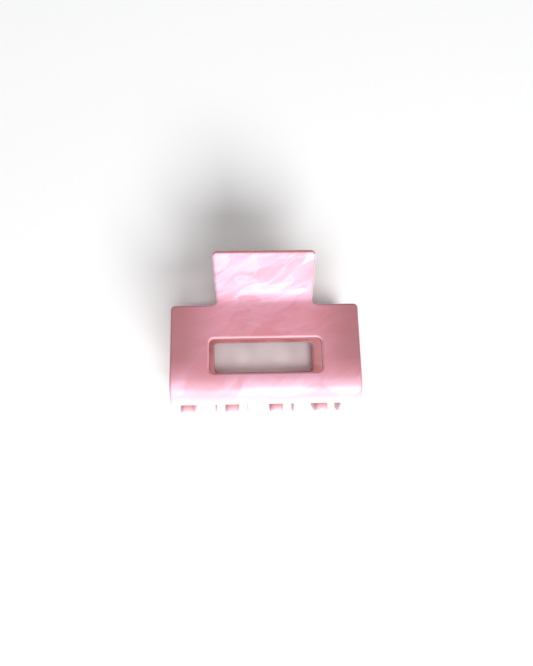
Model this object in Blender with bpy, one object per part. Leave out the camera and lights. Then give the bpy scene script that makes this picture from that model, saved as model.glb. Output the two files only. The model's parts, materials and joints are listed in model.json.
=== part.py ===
"""Claw clip with rectangular jaws: two identical bent-sheet jaws with interlocking teeth, bonded hinge lugs,
a hinge pin and a torsion spring.

The clip lies on its rear jaw. X runs along the hinge, +Y from the teeth towards the finger tabs, +Z up from
the surface it lies on. The origin is on that surface, under the centre of the clip. Lengths are in metres.
"""

import math

import bmesh
import bpy
from mathutils import Matrix, Vector

# Driving dimensions of a jaw.
CLIP_WIDTH = 0.0504
HALF_DEPTH = 0.0154  # from the plane between the jaws out to the bulge and to the tab's tip
SHEET = 0.0025
EDGE_ROUND = 0.0006
TAB_LEAN = math.radians(22.8)  # how far the tab opens outwards from the plane between the jaws
ROOF_LEAN = math.radians(12.1)  # how far the flat stretch below the neck opens outwards
BULGE_END = math.radians(57.0)  # heading where the bulge's tight bend passes into the teeth's wide one
LIP_HEADING = math.radians(62.0)  # heading at the edge that the teeth stand on
TOOTH_END = math.radians(102.0)

# Bend radii and straight runs, measured on the middle of the sheet.
NECK_RADIUS = 0.0055
BULGE_RADIUS = 0.00475
TOOTH_BEND = 0.0215
ROOF_RUN = 0.0205

# The outline of the flat sheet, before it is bent.
TAB_TIP_WIDTH = 0.0277
TAB_ROOT_WIDTH = 0.0257
TAB_CORNER = 0.0012
NECK_TO_SHOULDER = 0.0004  # from the end of the neck's bend down to the shoulders
SHOULDER_FILLET = 0.0015
SHOULDER_CORNER = 0.0012
WINDOW_WIDTH = 0.0300
WINDOW_HEIGHT = 0.0094
WINDOW_FROM_BULGE = 0.0014  # from the window's lower edge to the start of the bulge
WINDOW_CORNER = 0.0014
FOOT_CORNER = 0.0007
TEETH = 4
TOOTH_PITCH = 0.0125
FIRST_TOOTH = 0.0219  # from the clip's middle to the outermost tooth
TOOTH_ROOT_WIDTH = 0.0041
TOOTH_TIP_WIDTH = 0.0036
TOOTH_FILLET = 0.0005
TOOTH_TIP_ROUND = 0.0016

# Hinge.
LUG_THICKNESS = 0.0025
LUG_INNER_FACE = 0.0066  # from the clip's middle to the inner lug
SIDE_GAP = 0.0003  # between neighbouring lugs, and between a lug and a pin head
BOND_GAP = 0.0003  # between a sheet and what lies against its inner face
LUG_EYE_RADIUS = 0.0030
LUG_EYE_TOP = 0.0012  # how far above the hinge axis the eye passes into the foot
LUG_OVERLAP = 0.0023  # how far the foot reaches past each end of the neck's bend
PIN_RADIUS = 0.00075
PIN_CLEARANCE = 0.00010
PIN_HEAD_RADIUS = 0.0013
PIN_HEAD_THICKNESS = 0.0005
PIN_HEAD_RIM = 0.00104  # radius of the head's flat end, inside its bevel
WIRE_RADIUS = 0.0005
COIL_RADIUS = 0.0023
COIL_HALF_LENGTH = 0.0058
COIL_TURNS = 10  # whole turns, less what the two legs take away
LEG_REACH = 0.0073  # from the hinge axis up the tab to the spring's foot
FOOT_LENGTH = 0.0042
FOOT_BEND = 0.0012

ROUND_STEPS = 4  # straight pieces in a rounded corner of an outline
BEND_STEP = math.radians(6.5)
COIL_STEPS = 12
HOLE_STEPS = 20
LEG_STEPS = 3
FOOT_STEPS = 4


def clear_scene():
    for old in list(bpy.data.objects):
        bpy.data.objects.remove(old)


def plastic(name, colour, roughness):
    return finish(name, colour, roughness, 0.0)


def steel(name):
    return finish(name, (0.62, 0.62, 0.64, 1.0), 0.25, 1.0)


def finish(name, colour, roughness, metallic):
    material = bpy.data.materials.new(name)
    material.use_nodes = True
    shader = material.node_tree.nodes["Principled BSDF"]
    shader.inputs["Base Color"].default_value = colour
    shader.inputs["Roughness"].default_value = roughness
    shader.inputs["Metallic"].default_value = metallic
    return material


def add_object(name, data, material, parent, location=(0, 0, 0), rotation=(0, 0, 0)):
    made = bpy.data.objects.new(name, data)
    bpy.context.scene.collection.objects.link(made)
    if not data.materials:
        data.materials.append(material)
    made.location = location
    made.rotation_euler = rotation
    made.parent = parent
    return made


def add_empty(name, location):
    made = bpy.data.objects.new(name, None)
    made.empty_display_size = 0.005
    made.location = location
    bpy.context.scene.collection.objects.link(made)
    return made


class BentLine:
    """The middle line of the bent sheet, seen from its end, from the tab's tip to the teeth's tips.

    A heading is the angle between the line's direction and straight down, positive when it leans inwards.
    Stations hold the distance along the line, the point (y, z) and the heading there.
    """

    def __init__(self):
        self.stations = [(0.0, Vector((0.0, 0.0)), TAB_LEAN)]
        self.run(tab_run())
        self.neck_start = self.length
        self.bend(-ROOF_LEAN, NECK_RADIUS)
        self.neck_end = self.length
        self.run(ROOF_RUN)
        self.bulge_start = self.length
        self.bend(0.0, BULGE_RADIUS)
        self.bulge_peak = self.stations[-1][1].copy()
        self.bend(BULGE_END, BULGE_RADIUS)
        self.bend(LIP_HEADING, TOOTH_BEND)
        self.lip = self.length
        self.bend(TOOTH_END, TOOTH_BEND)
        self.move_to_hinge()

    @property
    def length(self):
        return self.stations[-1][0]

    def run(self, distance):
        along, point, heading = self.stations[-1]
        step = Vector((-math.cos(heading), -math.sin(heading))) * distance
        self.stations.append((along + distance, point + step, heading))

    def bend(self, heading_end, radius):
        along, point, heading = self.stations[-1]
        turn = heading_end - heading
        side = math.copysign(1.0, turn)
        centre = point - outward(heading) * radius * side
        steps = max(2, math.ceil(abs(turn) / BEND_STEP))
        for i in range(1, steps + 1):
            angle = heading + turn * i / steps
            place = centre + outward(angle) * radius * side
            self.stations.append((along + abs(turn) * radius * i / steps, place, angle))

    def move_to_hinge(self):
        """Puts the hinge axis at (0, 0): level with the neck's narrowest line, midway between the jaws."""
        neck = min((point for along, point, _ in self.stations if along <= self.neck_end), key=lambda p: p.y)
        shift = Vector((neck.x, self.bulge_peak.y - (HALF_DEPTH - SHEET / 2)))
        for _, point, _ in self.stations:
            point -= shift
        self.bulge_peak -= shift

    def place(self, along, offset):
        """The point (y, z) at a distance along the line and an offset outwards from it."""
        last = len(self.stations) - 1
        i = next((k for k in range(1, last) if self.stations[k][0] >= along), last)
        start, first, heading_a = self.stations[i - 1]
        end, second, heading_b = self.stations[i]
        part = (along - start) / (end - start)
        outer_a = first + outward(heading_a) * offset
        outer_b = second + outward(heading_b) * offset
        return outer_a.lerp(outer_b, part)


def outward(heading):
    """The direction (y, z) out of the sheet, away from the other jaw."""
    return Vector((-math.sin(heading), math.cos(heading)))


def tab_run():
    """The tab's length that brings its rounded tip out exactly as far as the bulge."""
    tip = EDGE_ROUND * math.sin(TAB_LEAN) - (SHEET / 2 - EDGE_ROUND) * math.cos(TAB_LEAN) - EDGE_ROUND
    neck = NECK_RADIUS * (math.cos(ROOF_LEAN) - math.cos(TAB_LEAN))
    roof = ROOF_RUN * math.sin(ROOF_LEAN) + BULGE_RADIUS * (1 - math.cos(ROOF_LEAN))
    return (tip + SHEET / 2 - neck + roof) / math.sin(TAB_LEAN)


def rounded(corners):
    """An outline from (point, radius) corners, each corner of more than zero radius rounded by an arc."""
    points = []
    for i, (corner, radius) in enumerate(corners):
        corner = Vector(corner)
        before = (Vector(corners[i - 1][0]) - corner).normalized()
        after = (Vector(corners[(i + 1) % len(corners)][0]) - corner).normalized()
        half = before.angle(after) / 2
        if radius == 0 or half > math.radians(89):
            points.append(corner)
            continue
        centre = corner + (before + after).normalized() * (radius / math.sin(half))
        start = corner + before * (radius / math.tan(half)) - centre
        end = corner + after * (radius / math.tan(half)) - centre
        turn = start.angle_signed(end)
        for k in range(ROUND_STEPS + 1):
            points.append(centre + Matrix.Rotation(-turn * k / ROUND_STEPS, 2) @ start)
    return points


def tooth_corners(middle, lip, tip):
    """A tooth's four corners, from the clip's +X side to its -X side."""
    root, end = TOOTH_ROOT_WIDTH / 2, TOOTH_TIP_WIDTH / 2
    return [
        ((middle + root, lip), TOOTH_FILLET),
        ((middle + end, tip), TOOTH_TIP_ROUND),
        ((middle - end, tip), TOOTH_TIP_ROUND),
        ((middle - root, lip), TOOTH_FILLET),
    ]


def jaw_outlines(line):
    """The flat sheet's outer outline and its window, as lists of points (x, distance from the tab's tip)."""
    side, tip, root = CLIP_WIDTH / 2, TAB_TIP_WIDTH / 2, TAB_ROOT_WIDTH / 2
    shoulder = line.neck_end + NECK_TO_SHOULDER
    outer = [((-tip, 0), TAB_CORNER), ((tip, 0), TAB_CORNER), ((root, shoulder), SHOULDER_FILLET)]
    outer += [((side, shoulder), SHOULDER_CORNER), ((side, line.lip), FOOT_CORNER)]
    for i in range(TEETH):
        outer += tooth_corners(FIRST_TOOTH - i * TOOTH_PITCH, line.lip, line.length)
    outer += [((-side, line.lip), FOOT_CORNER), ((-side, shoulder), SHOULDER_CORNER)]
    outer += [((-root, shoulder), SHOULDER_FILLET)]
    low = line.bulge_start - WINDOW_FROM_BULGE
    high, half = low - WINDOW_HEIGHT, WINDOW_WIDTH / 2
    window = [((x, y), WINDOW_CORNER) for x, y in ((-half, high), (half, high), (half, low), (-half, low))]
    return rounded(outer), rounded(window)


def filled_curve(name, outlines, half_thickness, edge_round=0.0, edge_steps=1):
    """A flat plate from closed outlines, the second and later ones being holes, with rounded edges."""
    curve = bpy.data.curves.new(name, "CURVE")
    curve.dimensions = "2D"
    curve.fill_mode = "BOTH"
    curve.extrude = half_thickness - edge_round
    curve.bevel_depth = edge_round
    curve.bevel_resolution = edge_steps
    curve.offset = -edge_round
    for outline in outlines:
        spline = curve.splines.new("POLY")
        spline.points.add(len(outline) - 1)
        for point, (x, y) in zip(spline.points, outline):
            point.co = (x, y, 0, 1)
        spline.use_cyclic_u = True
    return curve


def mesh_of_curve(curve):
    """The mesh that a curve makes, with its coinciding points joined."""
    holder = bpy.data.objects.new(curve.name, curve)
    bpy.context.scene.collection.objects.link(holder)
    bpy.context.view_layer.update()
    graph = bpy.context.evaluated_depsgraph_get()
    mesh = bpy.data.meshes.new_from_object(holder.evaluated_get(graph))
    mesh.name = curve.name
    bpy.data.objects.remove(holder)
    bpy.data.curves.remove(curve)
    shape = bmesh.new()
    shape.from_mesh(mesh)
    bmesh.ops.remove_doubles(shape, verts=shape.verts, dist=1e-6)
    bmesh.ops.recalc_face_normals(shape, faces=shape.faces)
    shape.to_mesh(mesh)
    shape.free()
    return mesh


def bent_jaw(line):
    """The jaw: the flat sheet is cut along each bend line and folded to the bent line."""
    outer, window = jaw_outlines(line)
    mesh = mesh_of_curve(filled_curve("jaw", [outer, window], SHEET / 2, EDGE_ROUND))
    shape = bmesh.new()
    shape.from_mesh(mesh)
    for along, _, _ in line.stations[1:-1]:
        everything = shape.verts[:] + shape.edges[:] + shape.faces[:]
        bmesh.ops.bisect_plane(shape, geom=everything, dist=1e-7, plane_co=(0, along, 0), plane_no=(0, 1, 0))
    for vert in shape.verts:
        place = line.place(vert.co.y, vert.co.z)
        vert.co = (vert.co.x, place.x, place.y)
    bmesh.ops.triangulate(shape, faces=shape.faces)
    bmesh.ops.dissolve_degenerate(shape, edges=shape.edges, dist=2e-6)
    bmesh.ops.recalc_face_normals(shape, faces=shape.faces)
    shape.to_mesh(mesh)
    shape.free()
    return mesh


def circle(radius, steps):
    turns = (2 * math.pi * i / steps for i in range(steps))
    return [(radius * math.cos(turn), radius * math.sin(turn)) for turn in turns]


def lug_mesh(line):
    """A hinge lug: an eye round the pin on a foot that follows the inside of the neck."""
    inside = -(SHEET / 2 + BOND_GAP)
    bend = [along for along, _, _ in line.stations if line.neck_start <= along <= line.neck_end]
    ends = [line.neck_start - LUG_OVERLAP, line.neck_end + LUG_OVERLAP]
    foot = [line.place(along, inside) for along in sorted(bend + ends)]
    eye = [Vector(point) for point in circle(LUG_EYE_RADIUS, 2 * HOLE_STEPS) if point[1] < LUG_EYE_TOP]
    eye.sort(key=lambda point: (math.atan2(point.y, point.x) - math.pi / 2) % (2 * math.pi))
    hole = circle(PIN_RADIUS + PIN_CLEARANCE, HOLE_STEPS)
    return mesh_of_curve(filled_curve("lug", [foot + eye, hole], LUG_THICKNESS / 2))


def pin_mesh():
    """The pin: a plain shaft with a flat head riveted over at each end, turned round the X axis."""
    end = LUG_INNER_FACE + 2 * LUG_THICKNESS + 2 * SIDE_GAP
    half = [(PIN_RADIUS, end), (PIN_HEAD_RADIUS, end), (PIN_HEAD_RADIUS, end + PIN_HEAD_THICKNESS / 2)]
    half += [(PIN_HEAD_RIM, end + PIN_HEAD_THICKNESS), (0.0, end + PIN_HEAD_THICKNESS)]
    profile = [(r, -x) for r, x in reversed(half)] + half
    shape = bmesh.new()
    ring = [shape.verts.new((x, r, 0)) for r, x in profile]
    edges = [shape.edges.new(pair) for pair in zip(ring, ring[1:])]
    bmesh.ops.spin(
        shape, geom=ring + edges, cent=(0, 0, 0), axis=(1, 0, 0), angle=2 * math.pi, steps=HOLE_STEPS, use_merge=True
    )
    bmesh.ops.remove_doubles(shape, verts=shape.verts, dist=1e-6)
    bmesh.ops.recalc_face_normals(shape, faces=shape.faces)
    mesh = bpy.data.meshes.new("hinge_pin")
    shape.to_mesh(mesh)
    shape.free()
    return mesh


def spring_leg(line):
    """One leg's centre line (x, y, z), from where it leaves the coil to the end of its foot on the front tab."""
    foot = foot_place(line)
    reach = foot.length
    leaving = math.atan2(foot.y, foot.x) + math.acos(COIL_RADIUS / reach)
    start = Vector((math.cos(leaving), math.sin(leaving))) * COIL_RADIUS
    x = COIL_HALF_LENGTH
    direction = (foot - start).normalized()
    bend_start = foot - direction * FOOT_BEND
    points = [(x, *start.lerp(bend_start, i / LEG_STEPS)) for i in range(LEG_STEPS + 1)]
    for i in range(1, FOOT_STEPS + 1):
        angle = math.pi / 2 * i / FOOT_STEPS
        place = bend_start + direction * FOOT_BEND * math.sin(angle)
        points.append((x + FOOT_BEND * (1 - math.cos(angle)), *place))
    points.append((x + FOOT_LENGTH, *foot))
    return points, leaving


def foot_place(line):
    """Where the spring's foot lies (y, z), just inside the tab."""
    inside = -(SHEET / 2 + BOND_GAP + WIRE_RADIUS)
    tip, root = line.place(0, inside), line.place(line.neck_start, inside)
    return root.lerp(tip, (LEG_REACH - root.x) / (tip.x - root.x))


def spring_curve(line):
    """The torsion spring: a coil round the hinge axis, with one leg and foot for each tab."""
    leg, leaving = spring_leg(line)
    other_leg = [(-x, y, -z) for x, y, z in reversed(leg)]
    turn = 2 * leaving - 2 * math.pi * COIL_TURNS
    steps = round(abs(turn) / (2 * math.pi) * COIL_STEPS)
    coil = []
    for i in range(1, steps):
        angle = -leaving + turn * i / steps
        x = COIL_HALF_LENGTH * (2 * i / steps - 1)
        coil.append((x, COIL_RADIUS * math.cos(angle), COIL_RADIUS * math.sin(angle)))
    points = other_leg + coil + leg
    curve = bpy.data.curves.new("torsion_spring", "CURVE")
    curve.dimensions = "3D"
    curve.bevel_depth = WIRE_RADIUS
    curve.bevel_resolution = 2
    curve.use_fill_caps = True
    spline = curve.splines.new("POLY")
    spline.points.add(len(points) - 1)
    for point, (x, y, z) in zip(spline.points, points):
        point.co = (x, y, z, 1)
    return curve


def add_lugs(name, mesh, material, parent):
    """Two lugs on one jaw: the outer one on its +X side and the inner one on its -X side."""
    inner = LUG_INNER_FACE + LUG_THICKNESS / 2
    outer = inner + LUG_THICKNESS + SIDE_GAP
    upright = (math.pi / 2, 0, math.pi / 2)
    add_object(name + "_lug_outer", mesh, material, parent, (outer, 0, 0), upright)
    add_object(name + "_lug_inner", mesh, material, parent, (-inner, 0, 0), upright)


def smooth(mesh):
    mesh.shade_smooth()
    mesh.set_sharp_from_angle(angle=math.radians(35))


def hinge_height(line):
    """How far the hinge lies from the clip's middle, along Y, so that the middle is at Y = 0."""
    top = line.place(EDGE_ROUND, -(SHEET / 2 - EDGE_ROUND)).x + EDGE_ROUND
    bottom = min(line.place(station[0], SHEET / 2).x for station in line.stations)
    return -(top + bottom) / 2


def build():
    clear_scene()
    line = BentLine()
    pearl = plastic("pink_pearl_sheet", (0.86, 0.50, 0.56, 1.0), 0.12)
    bonded = plastic("pink_pearl_lug", (0.84, 0.46, 0.52, 1.0), 0.2)
    wire = steel("spring_steel")
    pin = steel("pin_steel")

    hinge = Vector((0, hinge_height(line), HALF_DEPTH))
    rear = add_empty("rear_jaw_frame", hinge)
    front = add_empty("front_jaw_pivot", hinge)
    rear.rotation_euler = (0, math.pi, 0)

    jaw = bent_jaw(line)
    lug = lug_mesh(line)
    spindle = pin_mesh()
    for mesh in (jaw, lug, spindle):
        smooth(mesh)
    add_object("rear_jaw", jaw, pearl, rear)
    add_object("front_jaw", jaw, pearl, front)
    add_lugs("rear", lug, bonded, rear)
    add_lugs("front", lug, bonded, front)
    add_object("hinge_pin", spindle, pin, rear)
    add_object("torsion_spring", spring_curve(line), wire, rear)


build()
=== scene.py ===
import json
import math

import bpy
import numpy as np
from mathutils import Matrix, Vector
from mathutils.geometry import delaunay_2d_cdt


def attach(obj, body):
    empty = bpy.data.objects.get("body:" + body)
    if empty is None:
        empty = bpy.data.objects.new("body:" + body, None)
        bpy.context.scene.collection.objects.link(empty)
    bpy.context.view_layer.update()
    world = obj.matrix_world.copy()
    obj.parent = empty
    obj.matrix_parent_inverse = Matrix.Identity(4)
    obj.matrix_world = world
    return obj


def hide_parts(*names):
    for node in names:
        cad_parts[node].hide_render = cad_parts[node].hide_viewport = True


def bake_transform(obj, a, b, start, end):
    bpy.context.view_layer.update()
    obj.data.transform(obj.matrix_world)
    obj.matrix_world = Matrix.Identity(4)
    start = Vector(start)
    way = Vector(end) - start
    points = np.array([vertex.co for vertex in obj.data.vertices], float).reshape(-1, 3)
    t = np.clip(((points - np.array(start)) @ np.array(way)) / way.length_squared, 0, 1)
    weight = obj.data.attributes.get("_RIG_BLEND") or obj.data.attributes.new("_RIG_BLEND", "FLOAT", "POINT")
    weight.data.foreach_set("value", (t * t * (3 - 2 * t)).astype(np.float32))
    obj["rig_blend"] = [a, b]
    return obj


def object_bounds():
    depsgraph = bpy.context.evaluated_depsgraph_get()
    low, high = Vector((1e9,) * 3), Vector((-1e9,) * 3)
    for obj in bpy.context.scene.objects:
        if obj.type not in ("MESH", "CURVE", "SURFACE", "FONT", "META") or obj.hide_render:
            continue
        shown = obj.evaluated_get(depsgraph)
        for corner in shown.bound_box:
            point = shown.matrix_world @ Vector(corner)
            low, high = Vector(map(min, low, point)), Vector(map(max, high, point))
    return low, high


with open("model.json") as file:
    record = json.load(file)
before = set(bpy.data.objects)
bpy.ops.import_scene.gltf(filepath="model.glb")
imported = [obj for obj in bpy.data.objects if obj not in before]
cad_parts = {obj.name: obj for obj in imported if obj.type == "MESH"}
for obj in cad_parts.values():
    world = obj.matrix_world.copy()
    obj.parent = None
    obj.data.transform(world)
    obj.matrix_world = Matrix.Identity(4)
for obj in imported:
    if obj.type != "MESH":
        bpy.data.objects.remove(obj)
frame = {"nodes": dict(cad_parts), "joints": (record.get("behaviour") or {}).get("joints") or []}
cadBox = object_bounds()
mm = 0.001
hinge = np.array(frame["joints"][0]["pos_m"])
print("frame loaded:", sorted(frame["nodes"]))


# mesh helpers

def makePiece(name, points, faces, material, smoothAngle=40):
    # points is N x 3, faces a list of index lists; a shell that comes out inside out is turned
    points = np.asarray(points, float)
    mesh = bpy.data.meshes.new(name)
    mesh.from_pydata(points.tolist(), [], [list(map(int, face)) for face in faces])
    mesh.update()
    if signedVolume(mesh) < 0:
        mesh.flip_normals()
    mesh.shade_smooth()
    mesh.set_sharp_from_angle(angle=math.radians(smoothAngle))
    mesh.materials.append(material)
    piece = bpy.data.objects.new(name, mesh)
    bpy.context.scene.collection.objects.link(piece)
    return piece


def signedVolume(mesh):
    mesh.calc_loop_triangles()
    corners = np.zeros(len(mesh.loop_triangles) * 3, int)
    mesh.loop_triangles.foreach_get("vertices", corners)
    places = np.zeros(len(mesh.vertices) * 3)
    mesh.vertices.foreach_get("co", places)
    a, b, c = places.reshape(-1, 3)[corners].reshape(-1, 3, 3).transpose(1, 0, 2)
    return float(np.einsum("ij,ij->", a, np.cross(b, c)))


def gridFaces(rows, columns, closedRows=False, closedColumns=False, first=0):
    # quads of a grid whose point (i, j) has the number first + i * columns + j
    i = np.arange(rows if closedRows else rows - 1)[:, None]
    j = np.arange(columns if closedColumns else columns - 1)[None, :]
    nextI, nextJ = (i + 1) % rows, (j + 1) % columns
    quads = [i * columns + j, nextI * columns + j, nextI * columns + nextJ, i * columns + nextJ]
    return (np.stack(np.broadcast_arrays(*quads), -1).reshape(-1, 4) + first).tolist()


def roundedLoop(corners, step):
    # corners are (x, y, radius) with the material on the left of the loop. Each corner becomes an arc that
    # touches its two sides, and each side gets a point every step. Gives the points and their outward normals
    corners = np.array(corners, float)
    spots, radii = corners[:, :2], corners[:, 2]
    back = np.roll(spots, 1, 0) - spots
    ahead = np.roll(spots, -1, 0) - spots
    back /= np.linalg.norm(back, axis=1)[:, None]
    ahead /= np.linalg.norm(ahead, axis=1)[:, None]
    half = np.arccos(np.clip((back * ahead).sum(1), -1, 1)) / 2
    tangent = radii / np.tan(half)
    side = np.where(back[:, 1] * ahead[:, 0] > back[:, 0] * ahead[:, 1], 1, -1)
    onward = (ahead - back) / np.linalg.norm(ahead - back, axis=1)[:, None]
    inward = np.stack([-onward[:, 1], onward[:, 0]], -1) * side[:, None]
    centres = spots + inward * (radii / np.sin(half))[:, None]
    starts, ends = spots + back * tangent[:, None], spots + ahead * tangent[:, None]
    places, normals = [], []
    for k in range(len(corners)):
        turn = side[k] * (math.pi - 2 * half[k])
        count = math.ceil(max(abs(turn) * radii[k] / (0.5 * step), abs(turn) / 0.2) - 1e-6)
        angle = np.arctan2(*(starts[k] - centres[k])[::-1]) + turn * np.linspace(0, 1, count + 1)
        ray = np.stack([np.cos(angle), np.sin(angle)], -1)
        places.append(centres[k] + radii[k] * ray)
        normals.append(side[k] * ray)
        run = starts[(k + 1) % len(corners)] - ends[k]
        count = max(1, math.ceil(np.linalg.norm(run) / step))
        along = np.arange(1, count)[:, None] / count
        places.append(ends[k] + run * along)
        right = np.array([run[1], -run[0]]) / np.linalg.norm(run)
        normals.append(np.repeat(right[None], count - 1, 0))
    return np.concatenate(places), np.concatenate(normals)


def edgeProfile(halfThick, inPlane, deep, support, steps=7):
    # the section of a rounded plate edge, from the top face round to the bottom face: how far in from the
    # outline, and how high. A quarter ellipse of inPlane by deep, a straight side, and the same below
    turn = np.linspace(math.pi / 2, 0, steps + 1)
    inset = inPlane * (1 - np.cos(turn))
    height = halfThick - deep + deep * np.sin(turn)
    inset = np.concatenate([[inPlane + support], inset])
    height = np.concatenate([[halfThick], height])
    return np.concatenate([inset, inset[::-1]]), np.concatenate([height, -height[::-1]])


def plate(loops, halfThick, inPlane, deep, support, spacing):
    # a flat plate with rounded edges. Each loop carries the edge section all the way round, and the faces
    # between the loops' inner rings are filled with a grid of spacing (x, y) joined by Delaunay triangles.
    # Gives the points (x, y, height) and the faces
    inset, height = edgeProfile(halfThick, inPlane, deep, support)
    steps = len(inset)
    points, faces, rings, first = [], [], [], 0
    for places, normals in loops:
        flat = places[:, None, :] - normals[:, None, :] * inset[None, :, None]
        tall = np.broadcast_to(height[None, :, None], flat.shape[:2] + (1,))
        points.append(np.concatenate([flat, tall], -1).reshape(-1, 3))
        faces += gridFaces(len(places), steps, closedRows=True, first=first)
        rings.append(np.arange(len(places)) * steps + first)
        first += len(places) * steps
    points = np.concatenate(points)
    ringNumbers = np.concatenate(rings)
    ring = points[ringNumbers, :2]
    low, high = ring.min(0), ring.max(0)
    xs = np.arange(low[0], high[0], spacing[0])
    ys = np.arange(low[1], high[1], spacing[1])
    inner = np.stack(np.meshgrid(xs, ys), -1).reshape(-1, 2)
    nearest = np.min(np.hypot(*(inner[:, None, :] - ring[None, :, :]).transpose(2, 0, 1)), 1)
    inner = inner[(nearest > 0.6 * min(spacing)) & insideLoops(inner, [ring[o] for o in ringParts(rings)])]
    flatPoints = np.concatenate([ring, inner])
    bounds, start = [], 0
    for part in rings:
        count = len(part)
        bounds += [(start + k, start + (k + 1) % count) for k in range(count)]
        start += count
    outer = list(range(len(rings[0])))
    result = delaunay_2d_cdt([Vector(p / mm) for p in flatPoints], bounds, [outer], 2, 1e-5)
    triangles = np.array([face[:] for face in result[2]])
    origin = np.array([o[0] for o in result[3]])
    triangles = origin[triangles]
    innerTop = first + np.arange(len(inner))
    innerLow = innerTop + len(inner)
    topNumber = np.concatenate([ringNumbers, innerTop])
    lowNumber = np.concatenate([ringNumbers + steps - 1, innerLow])
    for level in (halfThick, -halfThick):
        points = np.concatenate([points, np.concatenate([inner, np.full((len(inner), 1), level)], 1)])
    faces += topNumber[triangles][:, ::-1].tolist() + lowNumber[triangles].tolist()
    return points, faces


def ringParts(rings):
    # the places of each ring's points within all the rings' points put end to end
    start = 0
    for part in rings:
        yield slice(start, start + len(part))
        start += len(part)


def insideLoops(spots, loops):
    # even-odd rule: a ray from each spot towards +x crosses an odd number of sides
    crossings = np.zeros(len(spots), int)
    for loop in loops:
        a, b = loop, np.roll(loop, -1, 0)
        spans = (a[None, :, 1] > spots[:, None, 1]) != (b[None, :, 1] > spots[:, None, 1])
        rise = np.where(b[:, 1] == a[:, 1], 1, b[:, 1] - a[:, 1])
        meet = a[None, :, 0] + (spots[:, None, 1] - a[None, :, 1]) * ((b - a)[:, 0] / rise)[None, :]
        crossings += (spans & (meet > spots[:, None, 0])).sum(1)
    return crossings % 2 == 1


# materials

class Sock:
    # wraps a node socket so that shader maths can be written as a Python expression
    def __init__(self, tree, socket):
        self.tree = tree
        self.socket = socket

    def math(self, operation, *others):
        node = self.tree.node("ShaderNodeMath", {"operation": operation})
        for place, value in enumerate((self,) + others):
            self.tree.feed(node.inputs[place], value)
        return Sock(self.tree, node.outputs[0])

    def __add__(self, other):
        return self.math("ADD", other)

    def __sub__(self, other):
        return self.math("SUBTRACT", other)

    def __rsub__(self, other):
        return self.math("MULTIPLY_ADD", -1.0, other)

    def __mul__(self, other):
        return self.math("MULTIPLY", other)

    __radd__ = __add__
    __rmul__ = __mul__

    def soft(self, low, high):
        # 0 below low, 1 above high, smooth between
        node = self.tree.node("ShaderNodeMapRange", {"interpolation_type": "SMOOTHSTEP"})
        for name, value in (("Value", self), ("From Min", low), ("From Max", high)):
            self.tree.feed(node.inputs[name], value)
        return Sock(self.tree, node.outputs["Result"])


class Finish:
    # a material with one Principled shader, and the calls that add nodes to it
    def __init__(self, name, **constants):
        self.material = bpy.data.materials.new(name)
        self.material.use_nodes = True
        self.nodes = self.material.node_tree.nodes
        self.links = self.material.node_tree.links
        self.shader = self.nodes["Principled BSDF"]
        for socket, value in constants.items():
            self.shader.inputs[socket.replace("_", " ")].default_value = value

    def node(self, kind, settings=None, **sockets):
        made = self.nodes.new(kind)
        for key, value in (settings or {}).items():
            setattr(made, key, value)
        for key, value in sockets.items():
            self.feed(made.inputs[key.replace("_", " ")], value)
        return made

    def feed(self, socket, value):
        if isinstance(value, Sock):
            self.links.new(value.socket, socket)
        elif value is not None:
            socket.default_value = value

    def out(self, kind, output, settings=None, **sockets):
        return Sock(self, self.node(kind, settings, **sockets).outputs[output])

    def blendColour(self, factor, a, b):
        # a where factor is 0, b where it is 1
        made = self.node("ShaderNodeMix", {"data_type": "RGBA"})
        for place, value in ((0, factor), (6, a), (7, b)):
            self.feed(made.inputs[place], value)
        return Sock(self, made.outputs[2])

    def shift(self, vector, by, amount):
        # vector plus by times amount
        scaled = self.node("ShaderNodeVectorMath", {"operation": "SCALE"})
        self.feed(scaled.inputs[0], by)
        scaled.inputs["Scale"].default_value = amount
        added = self.node("ShaderNodeVectorMath", {"operation": "ADD"})
        self.feed(added.inputs[0], vector)
        self.feed(added.inputs[1], Sock(self, scaled.outputs[0]))
        return Sock(self, added.outputs[0])

    def noise(self, vector, scale, detail=3.0, roughness=0.5, output="Fac"):
        return self.out("ShaderNodeTexNoise", output, {"noise_dimensions": "3D"}, Vector=vector,
                        Scale=scale, Detail=detail, Roughness=roughness)

    def attribute(self, name, output="Fac"):
        return self.out("ShaderNodeAttribute", output, {"attribute_name": name})

    def wear(self, socket, value):
        self.feed(self.shader.inputs[socket], value)


pearlLook = {
    # painted shade for the roof's sides
    "deepRose": (0.40, 0.145, 0.165, 1),
    "rose": (0.66, 0.235, 0.285, 1),
    "palePink": (0.87, 0.52, 0.72, 1),
    "milky": (0.92, 0.60, 0.77, 1),
    "white": (0.93, 0.70, 0.80, 1),
    "polished": (0.76, 0.33, 0.40, 1),  # the rounded rims outside the window band, a rose paler than the body
    "cutEdge": (0.70, 0.215, 0.165, 1),  # where the pearl flakes stand edge on and the clear body shows
    # partly painted highlight: the teeth's cut edges, paler than the other cut edges
    "toothEdge": (0.86, 0.38, 0.37, 1),
    # painted highlight on the window's rounded rims
    "windowRim": (0.88, 0.50, 0.66, 1),
    # painted shade for the window's cut walls
    "windowCut": (0.52, 0.16, 0.14, 1),
    "backing": (0.60, 0.20, 0.19, 1),  # the side without pearl, in a dark rose that is also painted shade for the clip's shaded inside
    "backingPale": (0.71, 0.31, 0.33, 1),
    "metal": 0.07,
    "roughness": 0.44,
    "bump": 0.08,
    "drift": 0.02,
    "flakeTurn": math.radians(-30),
    "flakeSize": (0.0085, 0.0028, 0.008),
    "fold": 1.3,
}


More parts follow.
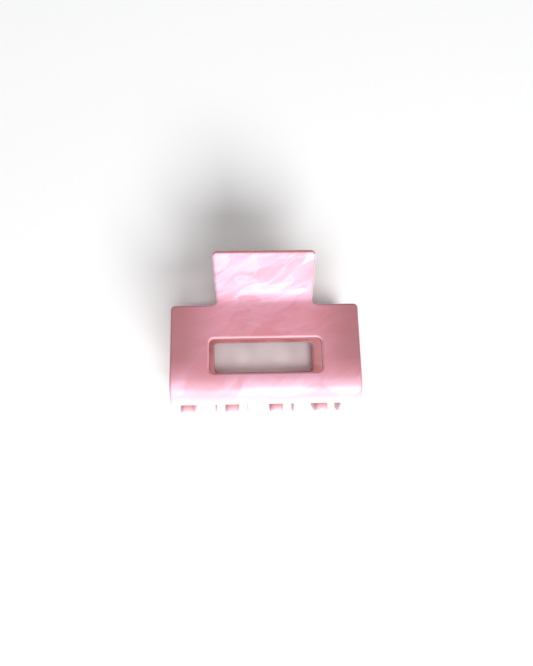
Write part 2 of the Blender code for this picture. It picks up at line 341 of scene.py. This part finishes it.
def pearlSheet(name):
    look = pearlLook
    f = Finish(name, IOR=1.5, Coat_Weight=0.36, Coat_Roughness=0.26, Coat_IOR=1.42)
    flat = f.attribute("sheetPlace", "Vector")
    face = f.attribute("faceOn")  # 1 on the flat faces, 0 on the cut edges
    across = f.attribute("sideways")  # 0 at the middle, 1 at the jaw's sides
    down = f.attribute("downSheet")  # 0 at the tab's tip, 1 at the teeth's tips
    shown = f.attribute("outerSide")  # 1 on the pearl side, 0 on the backing
    drift = f.noise(flat, 38.0, 1.0, output="Color")
    bent = f.shift(flat, drift, look["drift"])
    # the flakes were drawn out along a line that climbs 30 degrees, about three times as long as wide
    turned = f.out("ShaderNodeMapping", "Vector", {"vector_type": "TEXTURE"}, Vector=bent,
                   Rotation=(0, 0, look["flakeTurn"]), Scale=look["flakeSize"])
    folded = f.shift(turned, f.noise(turned, 0.7, 2.0, output="Color"), look["fold"])
    shard = f.out("ShaderNodeTexVoronoi", "Color", {"feature": "SMOOTH_F1"}, Vector=folded, Scale=0.9,
                  Smoothness=0.2)
    shard = f.out("ShaderNodeSeparateColor", "Red", None, Color=shard)
    veil = f.noise(folded, 1.0, 2.0, 0.45)
    cloud = f.noise(flat, 60.0, 1.0)
    crease = 1 - ((f.noise(folded, 0.8, 1.0) - 0.5).math("ABSOLUTE") * 16).soft(0.0, 1.0)
    onTab = 1 - down.soft(0.18, 0.29)
    milk = (cloud * 0.35 + veil * 0.35 + shard * 0.3).soft(0.3, 0.7)
    # painted light on the rose body: the tab is painted paler as painted sheen, the sides are painted darker as
    # painted shade, and from the bulge to the teeth the body is painted milky and then near white as painted
    # highlight
    # painted sheen: onTab lifts the tab towards the pale pink, on top of the random marbling
    tint = f.blendColour(milk * (onTab * 0.4 + 0.22) + onTab * 0.36, look["rose"], look["palePink"])
    tint = f.blendColour(crease * (onTab * 0.33 + 0.07), tint, look["milky"])
    # painted shade: the roof darkens towards the jaw's sides
    sides = across.soft(0.4, 0.95) * (1 - down.soft(0.5, 0.62)) * 0.85
    tint = f.blendColour(sides, tint, look["deepRose"])
    # painted highlight: from the bulge down to the teeth the colour turns milky and then near white
    tint = f.blendColour(down.soft(0.56, 0.69) * (milk * 0.6 + 0.4), tint, look["milky"])
    tint = f.blendColour(down.soft(0.635, 0.73), tint, look["white"])
    # the inner side without pearl, partly painted shade: its dark rose stands in for the shade inside the clip
    backing = f.blendColour(milk * 0.7 + crease * 0.2, look["backing"], look["backingPale"])
    tint = f.blendColour(shown, backing, tint)
    # inside this band the only rims are the tab's, the window's and the teeth's
    middle = 1 - across.soft(0.64, 0.72)
    # the window's rims get a painted highlight; the other rims keep their plain rim colour
    rim = f.blendColour(middle, look["polished"], look["windowRim"])
    # painted highlight: the tab's rounded rims are painted near white
    rim = f.blendColour(onTab, rim, look["white"])
    rim = f.blendColour(1 - down.soft(0.009, 0.016), rim, look["cutEdge"])
    # painted highlight: the rims from the bulge to the teeth are painted milky
    rim = f.blendColour(down.soft(0.64, 0.73), rim, look["milky"])
    tint = f.blendColour(1 - face.soft(0.55, 0.95), tint, rim)
    # painted shade: the window's cut walls are darker than the other cut edges
    cut = f.blendColour(middle * down.soft(0.3, 0.36), look["cutEdge"], look["windowCut"])
    # painted highlight: the teeth's cut edges are paler than the other cut edges, near white on the pearl side
    toothCut = f.blendColour(shown, look["toothEdge"], look["white"])
    cut = f.blendColour(down.soft(0.72, 0.8), cut, toothCut)
    f.wear("Base Color", f.blendColour(1 - face.soft(0.0, 0.45), tint, cut))
    f.wear("Metallic", face.soft(0.3, 0.95) * shown * look["metal"] * (milk + 0.4))
    f.wear("Roughness", look["roughness"] + (1 - milk) * 0.06)
    bump = f.node("ShaderNodeBump", None, Strength=look["bump"], Distance=0.5 * mm)
    f.feed(bump.inputs["Height"], shard * 0.5 + veil * 0.5)
    f.wear("Normal", Sock(f, bump.outputs[0]))
    return f.material


def drawnSteel(name, tone, roughness):
    f = Finish(name, Metallic=1.0)
    place = f.out("ShaderNodeTexCoord", "Object")
    grain = f.noise(place, 2400.0, 3.0)
    dark = tuple(0.82 * t for t in tone)
    f.wear("Base Color", f.blendColour(grain.soft(0.3, 0.7), dark + (1,), tone + (1,)))
    f.wear("Roughness", roughness + grain * 0.12)
    return f.material


pearl = pearlSheet("pinkPearlSheet")
lugPearl = pearlSheet("pinkPearlLug")
pinSteel = drawnSteel("pinSteel", (0.66, 0.66, 0.68), 0.2)
wireSteel = drawnSteel("springSteel", (0.6, 0.6, 0.62), 0.24)
print("materials made")


# the bent sheet that both jaws are made of

jaw = {
    "width": 50.4 * mm,
    "thick": 2.5 * mm,
    "edgeIn": 0.6 * mm,
    "edgeDeep": 0.6 * mm,
    "tabLean": math.radians(22.8),
    "roofLean": math.radians(12.1),
    "bulgeEnd": math.radians(57),
    "lipHeading": math.radians(62),
    "toothEnd": math.radians(102),
    "neckRadius": 5.5 * mm,
    "bulgeRadius": 4.75 * mm,
    "toothBend": 21.5 * mm,
    "roofRun": 20.5 * mm,
    "tabTip": 27.7 * mm,
    "tabRoot": 25.7 * mm,
    "tabCorner": 1.2 * mm,
    "neckToShoulder": 0.4 * mm,
    "shoulderFillet": 1.5 * mm,
    "shoulderCorner": 1.2 * mm,
    "windowWide": 30.0 * mm,
    "windowHigh": 9.4 * mm,
    "windowToBulge": 1.4 * mm,
    "windowCorner": 1.4 * mm,
    "footCorner": 0.7 * mm,
    "teeth": 4,
    "pitch": 12.5 * mm,
    "firstTooth": 21.9 * mm,
    "toothRoot": 4.1 * mm,
    "toothTip": 3.6 * mm,
    "toothFillet": 0.5 * mm,
    "toothRound": 1.6 * mm,
    "waves": [(0.010 * mm, 9.0 * mm, 0.5), (0.007 * mm, 5.5 * mm, 2.1), (0.004 * mm, 3.1 * mm, 1.2)],
    "step": 0.45 * mm,
    "support": 0.08 * mm,
    "grid": (0.9 * mm, 0.45 * mm),
}


def bendTable(s):
    # the sheet's middle line as stretches of steady bend, from the tab's tip to the teeth's tips. A heading is
    # the angle between the line and straight down, positive where the line leans inwards
    halfThick = s["thick"] / 2
    tip = s["edgeIn"] * math.sin(s["tabLean"]) - s["edgeDeep"]
    tip -= (halfThick - s["edgeDeep"]) * math.cos(s["tabLean"])
    neck = s["neckRadius"] * (math.cos(s["roofLean"]) - math.cos(s["tabLean"]))
    roof = s["roofRun"] * math.sin(s["roofLean"]) + s["bulgeRadius"] * (1 - math.cos(s["roofLean"]))
    tabRun = (tip + halfThick - neck + roof) / math.sin(s["tabLean"])
    headings = [s["tabLean"], s["tabLean"], -s["roofLean"], -s["roofLean"], s["bulgeEnd"], s["lipHeading"],
                s["toothEnd"]]
    bends = [None, s["neckRadius"], None, s["bulgeRadius"], s["toothBend"], s["toothBend"]]
    runs = [tabRun, None, s["roofRun"], None, None, None]
    heading, curve, length = [], [], []
    for k, radius in enumerate(bends):
        turn = headings[k + 1] - headings[k]
        heading.append(headings[k])
        length.append(runs[k] if radius is None else abs(turn) * radius)
        curve.append(0 if radius is None else turn / length[-1])
    table = {"heading": np.array(heading), "curve": np.array(curve), "length": np.array(length)}
    table["start"] = np.concatenate([[0], np.cumsum(length)[:-1]])
    table["y"], table["z"] = np.zeros(len(length)), np.zeros(len(length))
    for k in range(1, len(length)):
        end = bendSheet(table, np.array([0]), np.array([table["start"][k] - 1e-9]), np.array([0]))[0]
        table["y"][k], table["z"][k] = end[1], end[2]
    table["neckEnd"], table["bulgeStart"] = table["start"][2], table["start"][3]
    table["lip"], table["end"] = table["start"][5], float(sum(length))
    neckLow = table["start"][1] + s["tabLean"] * s["neckRadius"]
    peak = table["bulgeStart"] + s["roofLean"] * s["bulgeRadius"]
    marks = bendSheet(table, np.zeros(2), np.array([neckLow, peak]), np.array([0, halfThick]))
    table["y"] += hinge[1] - marks[0, 1]
    table["z"] += cadBox[1][2] - marks[1, 2]
    return table


def bendSheet(table, u, v, w):
    # a point u across, v along the flat sheet and w out of its middle plane. On a stretch whose heading turns at
    # a steady rate, y falls by the difference of the heading's sine over the rate, z rises by that of its cosine
    k = np.clip(np.searchsorted(table["start"], v, side="right") - 1, 0, len(table["start"]) - 1)
    run = v - table["start"][k]
    rate, first = table["curve"][k], table["heading"][k]
    heading = first + rate * run
    bent = np.abs(rate) > 1e-9
    safe = np.where(bent, rate, 1)
    y = table["y"][k] - np.where(bent, (np.sin(heading) - np.sin(first)) / safe, run * np.cos(first))
    z = table["z"][k] + np.where(bent, (np.cos(heading) - np.cos(first)) / safe, -run * np.sin(first))
    return np.stack([u, y - w * np.sin(heading), z + w * np.cos(heading)], -1)


def jawLoops(s, table):
    # the flat sheet's outline, with the tab, shoulders and teeth, and its window
    side, shoulder = s["width"] / 2, table["neckEnd"] + s["neckToShoulder"]
    tip, root = s["tabTip"] / 2, s["tabRoot"] / 2
    outline = [(-tip, 0, s["tabCorner"]), (tip, 0, s["tabCorner"]), (root, shoulder, s["shoulderFillet"]),
               (side, shoulder, s["shoulderCorner"]), (side, table["lip"], s["footCorner"])]
    for k in range(s["teeth"]):
        middle = s["firstTooth"] - k * s["pitch"]
        outline += [(middle + s["toothRoot"] / 2, table["lip"], s["toothFillet"]),
                    (middle + s["toothTip"] / 2, table["end"], s["toothRound"]),
                    (middle - s["toothTip"] / 2, table["end"], s["toothRound"]),
                    (middle - s["toothRoot"] / 2, table["lip"], s["toothFillet"])]
    outline += [(-side, table["lip"], s["footCorner"]), (-side, shoulder, s["shoulderCorner"]),
                (-root, shoulder, s["shoulderFillet"])]
    low = table["bulgeStart"] - s["windowToBulge"]
    high, half, corner = low - s["windowHigh"], s["windowWide"] / 2, s["windowCorner"]
    window = [(-half, high, corner), (-half, low, corner), (half, low, corner), (half, high, corner)]
    return [roundedLoop(outline, s["step"]), roundedLoop(window, s["step"])]


def turnedOver(points):
    # half a turn about the line through the hinge along Y, which takes the front jaw's place to the rear jaw's
    return points * np.array([-1, 1, -1]) + np.array([0, 0, 2 * hinge[2]])


def makeCutSheet(name, node, body, placed, cut, faces, material, deep, patternShift):
    # placed is where each point stands, cut is where it lay in the flat sheet before it was bent
    piece = makePiece(name, placed, faces, material)
    made = piece.data.attributes
    sheetPlace = made.new("sheetPlace", "FLOAT_VECTOR", "POINT")
    sheetPlace.data.foreach_set("vector", (cut + np.array(patternShift)).ravel().astype(np.float32))
    tall = np.abs(cut[:, 2])
    spread = {
        "faceOn": np.clip((tall - tall.max()) / deep + 1, 0, 1),
        "sideways": np.abs(cut[:, 0]) / (0.5 * jaw["width"]),
        "outerSide": np.clip(0.5 + cut[:, 2] / (0.5 * mm), 0, 1),
        "downSheet": cut[:, 1] / jawBend["end"],
    }
    for title, values in spread.items():
        made.new(title, "FLOAT", "POINT").data.foreach_set("value", values.astype(np.float32))
    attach(piece, body)
    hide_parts(node)


def waves(u, v, turn):
    # how far the sheet strays inwards from true: a sum of sines of falling height, each along its own direction,
    # set back by the sum of their heights
    stray = np.full_like(u, -sum(wave[0] for wave in jaw["waves"]))
    for height, length, way in jaw["waves"]:
        along = u * math.cos(way) + v * math.sin(way)
        stray += height * np.sin(2 * math.pi * along / length + 7 * way + turn)
    return stray


def makeJaw(name, node, body, turned, patternShift):
    # the strays close off towards the outline, so that no edge leaves its place
    points, faces = jawShape
    tall = np.abs(points[:, 2])
    flat = np.clip((tall - tall.max()) / (0.3 * mm) + 1, 0, 1)
    tall = points[:, 2] + flat * waves(points[:, 0], points[:, 1], 2.0 * turned)
    placed = bendSheet(jawBend, points[:, 0], points[:, 1], tall)
    placed = turnedOver(placed) if turned else placed
    makeCutSheet(name, node, body, placed, points, faces, pearl, jaw["edgeDeep"], patternShift)


jawBend = bendTable(jaw)
jawShape = plate(jawLoops(jaw, jawBend), jaw["thick"] / 2, jaw["edgeIn"], jaw["edgeDeep"], jaw["support"],
                 jaw["grid"])
makeJaw("frontJawSheet", "front_jaw", "front", False, (0.4, 0.1, 0))
makeJaw("rearJawSheet", "rear_jaw", "rear", True, (0.9, 0.3, 0))
print("jaws made:", len(jawShape[0]), "points each")


# the hinge: four lugs, the pin and the spring

lug = {
    "thick": 2.5 * mm,
    "innerFace": 6.6 * mm,
    "sideGap": 0.3 * mm,
    "bondGap": 0.3 * mm,
    "eyeRadius": 3.0 * mm,
    "foot": 4.6 * mm,
    "hole": 0.85 * mm,
    "corner": 0.5 * mm,
    "edge": 0.25 * mm,
    "support": 0.05 * mm,
    "grid": (0.5 * mm, 0.5 * mm),
}


def lugLoops(s, bend):
    # the foot follows the inside of the neck, and the eye goes round the pin
    inside = -(jaw["thick"] / 2 + s["bondGap"])
    along = np.linspace(bend["start"][1] - s["foot"] / 2, bend["neckEnd"] + s["foot"] / 2, 12)
    foot = bendSheet(bend, np.zeros(12), along, np.full(12, inside))[:, 1:] - hinge[1:]
    turn = np.linspace(math.pi - math.asin(0.4), 2 * math.pi + math.asin(0.4), 28)
    eye = s["eyeRadius"] * np.stack([np.cos(turn), np.sin(turn)], -1)
    soft = np.array([s["corner"]] + [mm] * 10 + [s["corner"]] + [2 * mm] * 28)
    outline = roundedLoop(np.column_stack([np.concatenate([foot, eye]), soft]), 0.4 * mm)
    turn = np.linspace(0, -2 * math.pi, 40, endpoint=False)
    ray = np.stack([np.cos(turn), np.sin(turn)], -1)
    return [outline, (s["hole"] * ray, -ray)]


def makeLug(name, node, body, turned, middle, patternShift):
    points, faces = lugShape
    placed = np.stack([middle + points[:, 2], points[:, 0] + hinge[1], points[:, 1] + hinge[2]], -1)
    placed = turnedOver(placed) if turned else placed
    makeCutSheet(name, node, body, placed, points, faces, lugPearl, lug["edge"], patternShift)


lugShape = plate(lugLoops(lug, jawBend), lug["thick"] / 2, lug["edge"], lug["edge"], lug["support"],
                 lug["grid"])
lugMiddle = lug["innerFace"] + lug["thick"] / 2
lugOuter = lugMiddle + lug["thick"] + lug["sideGap"]
makeLug("frontLugOuter", "front_lug_outer", "front", False, lugOuter, (2.1, 0.2, 0))
makeLug("frontLugInner", "front_lug_inner", "front", False, -lugMiddle, (2.6, 0.1, 0))
makeLug("rearLugOuter", "rear_lug_outer", "rear", True, lugOuter, (3.2, 0.4, 0))
makeLug("rearLugInner", "rear_lug_inner", "rear", True, -lugMiddle, (3.7, 0.6, 0))

pin = {
    "radius": 0.75 * mm,
    "end": 12.2 * mm,
    "headRadius": 1.3 * mm,
    "headThick": 0.5 * mm,
    "around": 40,
}


def makePin(s):
    # a turned shape: the profile (x, r) swept through a full turn, (x, r cos a, r sin a). The heads are domed
    dome = np.linspace(math.pi / 2, 0.12, 10)
    head = np.stack([s["end"] + 0.12 * mm + (s["headThick"] - 0.12 * mm) * np.cos(dome),
                     s["headRadius"] * np.sin(dome) ** 0.6], -1)
    neck = np.array([(s["end"] - 0.1 * mm, s["radius"]), (s["end"], s["radius"] + 0.02 * mm),
                     (s["end"], s["headRadius"] - 0.05 * mm), (s["end"] + 0.04 * mm, s["headRadius"])])
    right = np.concatenate([neck, head])
    shaft = np.stack([np.linspace(-s["end"] + 0.2 * mm, s["end"] - 0.2 * mm, 30), np.full(30, s["radius"])], -1)
    profile = np.concatenate([(right * (-1, 1))[::-1], shaft, right])
    turn = np.arange(s["around"]) / s["around"] * 2 * math.pi
    x = np.broadcast_to(profile[:, :1], (len(profile), s["around"]))
    rings = np.stack([x, profile[:, 1:] * np.cos(turn), profile[:, 1:] * np.sin(turn)], -1).reshape(-1, 3)
    faces = gridFaces(len(profile), s["around"], closedColumns=True)
    faces += [list(range(s["around"])), list(range(len(rings) - 1, len(rings) - 1 - s["around"], -1))]
    piece = makePiece("hingePin", rings + hinge, faces, pinSteel)
    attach(piece, "rear")
    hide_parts("hinge_pin")


makePin(pin)

spring = {
    "wire": 0.5 * mm,
    "coil": 2.3 * mm,
    "halfLength": 5.8 * mm,
    "turns": 10,
    "reach": 7.3 * mm,
    "foot": 4.2 * mm,
    "footBend": 1.2 * mm,
    "gap": 0.3 * mm,
    "around": 16,
}


def springPath(s, bend):
    # the wire's middle line and a direction square to it, from one foot round the coil to the other. The coil is
    # (x, r cos a, r sin a) with x and a rising steadily, and each leg leaves it along the tangent
    inside = -(jaw["thick"] / 2 + s["gap"] + s["wire"])
    tip = bendSheet(bend, np.zeros(1), np.zeros(1), np.array([inside]))[0, 1:] - hinge[1:]
    lean = jaw["tabLean"]
    foot = tip - np.array([math.cos(lean), math.sin(lean)]) * (tip[0] - s["reach"]) / math.cos(lean)
    leaving = math.atan2(foot[1], foot[0]) + math.acos(s["coil"] / np.linalg.norm(foot))
    ray = np.array([math.cos(leaving), math.sin(leaving)])
    start = ray * s["coil"]
    ahead = (foot - start) / np.linalg.norm(foot - start)
    bendStart = foot - ahead * s["footBend"]
    straight = start + (bendStart - start) * np.linspace(0.04, 1, 16)[:, None]
    turn = np.linspace(0, math.pi / 2, 12)[1:]
    curl = bendStart + ahead * s["footBend"] * np.sin(turn)[:, None]
    flatFoot = np.repeat(foot[None], 10, 0)
    out = np.concatenate([np.zeros(16), s["footBend"] * (1 - np.cos(turn)),
                          np.linspace(s["footBend"], s["foot"], 11)[1:]])
    leg = np.concatenate([(s["halfLength"] + out)[:, None], np.concatenate([straight, curl, flatFoot])], 1)
    total = 2 * leaving - 2 * math.pi * s["turns"]
    t = np.linspace(0, 1, s["turns"] * 44)
    angle = -leaving + total * t
    coil = np.stack([s["halfLength"] * (2 * t - 1), s["coil"] * np.cos(angle), s["coil"] * np.sin(angle)], -1)
    rays = np.stack([0 * t, np.cos(angle), np.sin(angle)], -1)
    legRay = np.repeat([[0, *ray]], len(leg), 0)
    flip = np.array([-1, 1, -1])
    path = np.concatenate([(leg * flip)[::-1], coil, leg])
    square = np.concatenate([(legRay * flip)[::-1], rays, legRay])
    return path, square


def makeSpring(s):
    # a tube: p + wire (cos a n + sin a b), with n square to the path and b = path direction x n
    path, square = springPath(s, jawBend)
    ahead = np.gradient(path, axis=0)
    ahead /= np.linalg.norm(ahead, axis=1)[:, None]
    square = square - ahead * (ahead * square).sum(1)[:, None]
    square /= np.linalg.norm(square, axis=1)[:, None]
    across = np.cross(ahead, square)
    turn = np.arange(s["around"]) / s["around"] * 2 * math.pi
    ring = square[:, None] * np.cos(turn)[:, None] + across[:, None] * np.sin(turn)[:, None]
    points = (path[:, None] + s["wire"] * ring).reshape(-1, 3)
    faces = gridFaces(len(path), s["around"], closedColumns=True)
    faces += [list(range(s["around"])), list(range(len(points) - 1, len(points) - 1 - s["around"], -1))]
    piece = makePiece("springWire", points + hinge, faces, wireSteel)
    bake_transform(piece, "rear", "front", start=(-5.3 * mm, hinge[1], hinge[2]), end=(5.3 * mm, hinge[1], hinge[2]))
    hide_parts("torsion_spring")


makeSpring(spring)
print("hinge made")


# camera, lights and table

studio = {
    "cameraSpot": (-4.35 * mm, -9.59 * mm, 189.9 * mm),
    "cameraTilt": 0.058,  # radians towards +Y
    "cameraLean": 0.029,  # radians towards +X
    "cameraRoll": -0.017,
    "lens": 32.97,
    "floorTone": (0.877, 0.88, 0.882),
    "keyFrom": (0.235, -0.686, 0.688),
    "keyDistance": 1.4,
    "keySize": (0.94, 0.86),
    "keyPower": 23.4,
    "topFrom": (0.0, 0.05, 1.0),
    "topDistance": 1.4,
    "topSize": (1.2, 1.2),
    "topPower": 8.2,
    "backFrom": (-0.30, 0.75, 0.60),
    "backDistance": 1.4,
    "backSize": (0.22, 0.22),
    "backPower": 1.0,
    "worldStrength": 0.06,
}


def makeCamera(s):
    tilt, lean, roll = s["cameraTilt"], s["cameraLean"], s["cameraRoll"]
    ahead = Vector((math.sin(lean) * math.cos(tilt), math.sin(tilt), -math.cos(tilt) * math.cos(lean)))
    ahead.normalize()
    right = ahead.cross(Vector((0, 1, 0))).normalized()
    up = right.cross(ahead)
    right, up = (right * math.cos(roll) + up * math.sin(roll), up * math.cos(roll) - right * math.sin(roll))
    camera = bpy.data.objects.new("viewCamera", bpy.data.cameras.new("viewCamera"))
    turned = Matrix((right, up, -ahead)).transposed().to_4x4()
    camera.matrix_world = Matrix.Translation(s["cameraSpot"]) @ turned
    camera.data.lens = s["lens"]
    camera.data.clip_start = 0.005
    bpy.context.scene.collection.objects.link(camera)
    bpy.context.scene.camera = camera


def softbox(name, direction, distance, size, power, target=(0, 0, 0.01)):
    light = bpy.data.lights.new(name, "AREA")
    light.shape = "ELLIPSE"
    light.size, light.size_y = size
    light.energy = power
    holder = bpy.data.objects.new(name, light)
    away = Vector(direction).normalized()
    holder.location = Vector(target) + away * distance
    holder.rotation_euler = away.to_track_quat("Z", "Y").to_euler()
    bpy.context.scene.collection.objects.link(holder)


def makeFloor(tone):
    f = Finish("paleTable", Roughness=0.7)
    place = f.out("ShaderNodeTexCoord", "Object")
    cloud = f.noise(place, 6.0, 2.0)
    dim = tuple(0.99 * t for t in tone) + (1,)
    f.wear("Base Color", f.blendColour(cloud, dim, tone + (1,)))
    reach, drop = 1.5, 0.00001
    corners = np.array([(-1, -1), (1, -1), (1, 1), (-1, 1)]) * reach
    mesh = bpy.data.meshes.new("table")
    mesh.from_pydata([(x, y, -drop) for x, y in corners.tolist()], [], [(0, 1, 2, 3)])
    mesh.materials.append(f.material)
    table = bpy.data.objects.new("table", mesh)
    bpy.context.scene.collection.objects.link(table)


def makeWorld(strength):
    world = bpy.data.worlds.new("studioAir")
    world.use_nodes = True
    world.node_tree.nodes["Background"].inputs["Strength"].default_value = strength
    world.node_tree.nodes["Background"].inputs["Color"].default_value = (1, 1, 1, 1)
    bpy.context.scene.world = world


makeCamera(studio)
makeFloor(studio["floorTone"])
makeWorld(studio["worldStrength"])
softbox("keyBox", studio["keyFrom"], studio["keyDistance"], studio["keySize"], studio["keyPower"])
softbox("backBox", studio["backFrom"], studio["backDistance"], studio["backSize"], studio["backPower"])
softbox("topBox", studio["topFrom"], studio["topDistance"], studio["topSize"], studio["topPower"])
bpy.context.scene.view_settings.view_transform = "Standard"
print("studio made")
